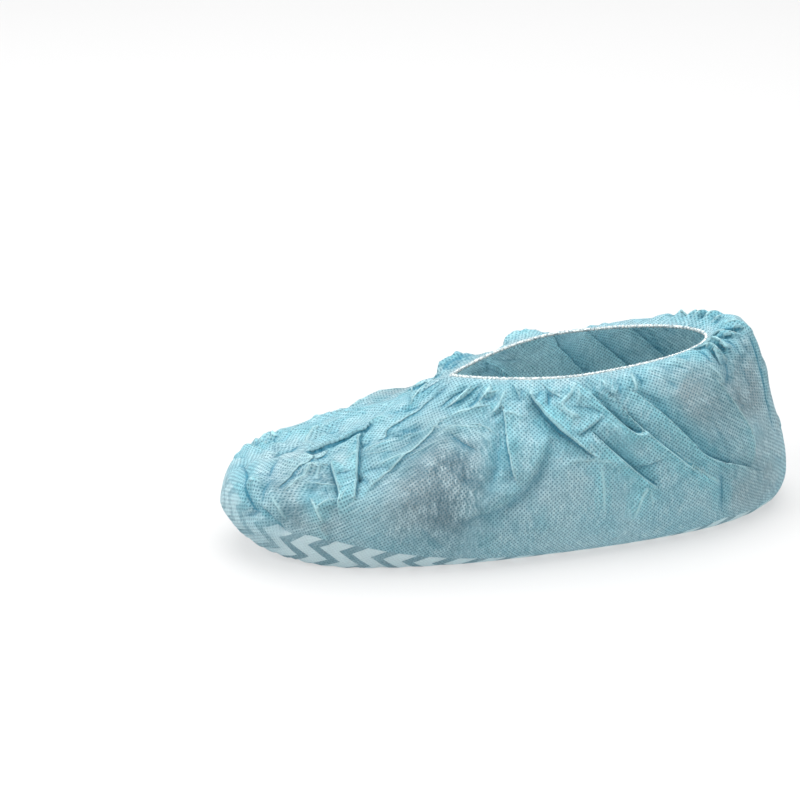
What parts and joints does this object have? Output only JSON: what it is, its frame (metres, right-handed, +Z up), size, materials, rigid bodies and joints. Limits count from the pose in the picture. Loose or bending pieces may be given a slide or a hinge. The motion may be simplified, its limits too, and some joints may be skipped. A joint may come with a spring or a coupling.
{
  "type": "shoe cover",
  "caption": "Disposable shoe cover of gathered nonwoven cloth, hollow and open at the top, with an elastic edged opening and a printed non-skid sole closed by a seam.",
  "frame": {"origin": "on the floor under the middle of the cover's box", "axes": "+Z up, -X towards the toe, +X towards the heel, Y across"},
  "size_m": [0.3158, 0.121, 0.104],
  "materials": {
    "nonwoven_cloth": "light blue point-bonded nonwoven, matt, a little see-through, with a pale and grey chevron tread printed on the sole",
    "elastic_edging": "white overlock thread over narrow elastic",
    "seam_thread": "blue sewing thread"
  },
  "bodies": {
    "root": {"fabric_body": "nonwoven_cloth", "elastic_edge": "elastic_edging", "sole_seam": "seam_thread"}
  },
  "joints": []
}
